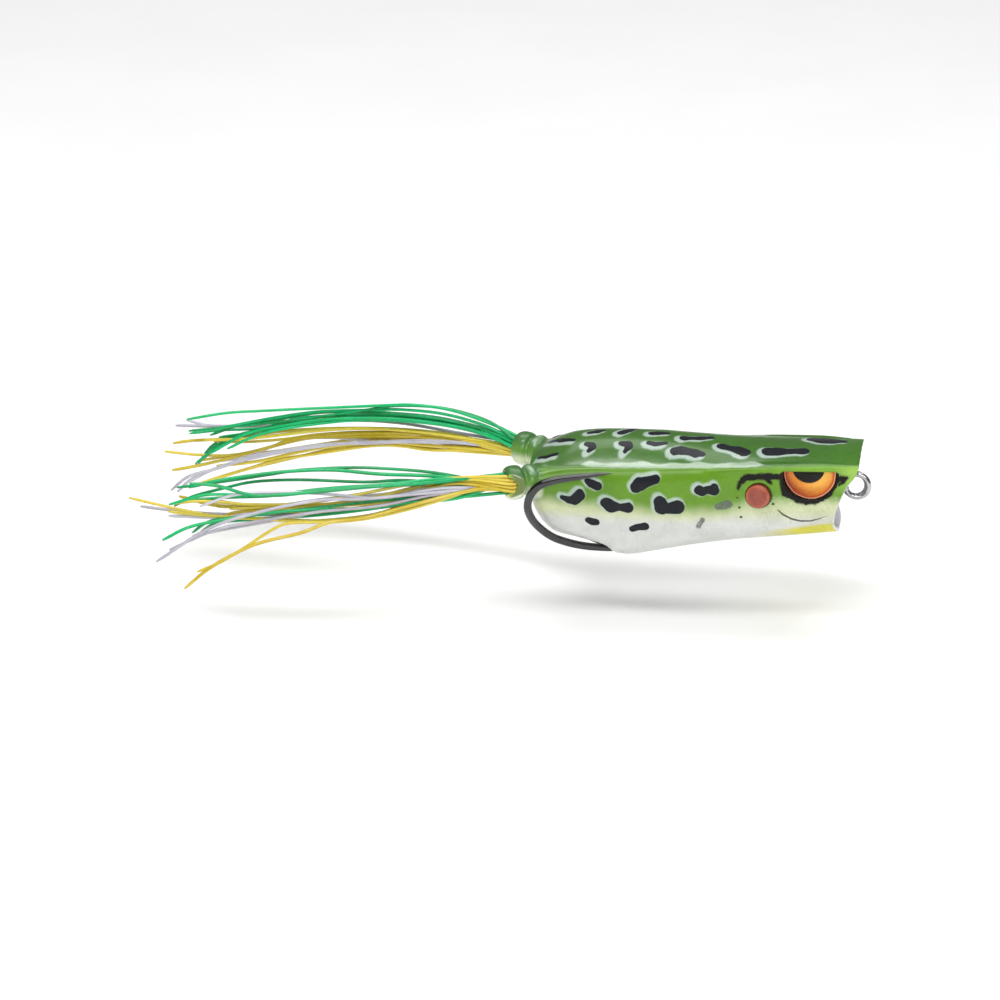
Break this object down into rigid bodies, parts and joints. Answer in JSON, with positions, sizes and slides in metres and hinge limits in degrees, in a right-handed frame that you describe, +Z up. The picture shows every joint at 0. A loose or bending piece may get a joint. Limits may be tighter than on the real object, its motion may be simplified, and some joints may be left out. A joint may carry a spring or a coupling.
{
  "type": "topwater popper",
  "caption": "Soft hollow frog-shaped surface lure with a cupped mouth, a weighted double hook lying against the body and two tasselled legs; line ties to the nose eye.",
  "frame": {"origin": "middle of the hole of the line-tie eye at the nose, where the line pulls", "axes": "+X forward out of the nose, +Z up towards the frog's back, +Y towards the frog's left side"},
  "size_m": [0.1375, 0.0587, 0.0229],
  "materials": {
    "soft_body": "soft PVC, painted green, white and black under a gloss coat",
    "eye_foil": "printed orange iris with a black pupil",
    "eye_lens": "clear domed resin",
    "ear_disc": "satin orange-red",
    "hook_wire": "black nickel plated steel",
    "braze": "plated over with the hook",
    "weight_metal": "bare cast lead, dull",
    "band_rubber": "black rubber",
    "strand_green": "emerald silicone, glossy",
    "strand_gold": "gold-yellow silicone, glossy",
    "strand_silver": "clear silver silicone with fine flake"
  },
  "bodies": {
    "body": {"body_shell": "soft_body", "right_eye_foil": "eye_foil", "right_eye_lens": "eye_lens", "left_eye_foil": "eye_foil", "left_eye_lens": "eye_lens", "right_ear_disc": "ear_disc", "left_ear_disc": "ear_disc", "right_leg_band": "band_rubber", "left_leg_band": "band_rubber", "right_skirt_root": "strand_gold", "left_skirt_root": "strand_green"},
    "hook": {"line_eye": "hook_wire", "right_hook_wire": "hook_wire", "left_hook_wire": "hook_wire", "shank_braze": "braze", "keel_weight": "weight_metal"},
    "right_leg": {"right_strands_green": "strand_green", "right_strands_gold": "strand_gold", "right_strands_silver": "strand_silver"},
    "left_leg": {"left_strands_green": "strand_green", "left_strands_gold": "strand_gold", "left_strands_silver": "strand_silver"}
  },
  "joints": [
    {"name": "hook_swing", "type": "hinge", "parent": "body", "child": "hook", "pos_m": [-0.0104, 0, -0.00287], "axis": [0, -1, 0], "range_deg": [0, 12]},
    {"name": "right_leg_swing", "type": "hinge", "parent": "body", "child": "right_leg", "pos_m": [-0.062, -0.00932, 0.001], "axis": [0, 0, 1], "range_deg": [-8, 20], "stiffness_Nm_per_rad": 0.0006},
    {"name": "left_leg_swing", "type": "hinge", "parent": "body", "child": "left_leg", "pos_m": [-0.062, 0.00932, 0.001], "axis": [0, 0, -1], "range_deg": [-8, 20], "stiffness_Nm_per_rad": 0.0006}
  ]
}
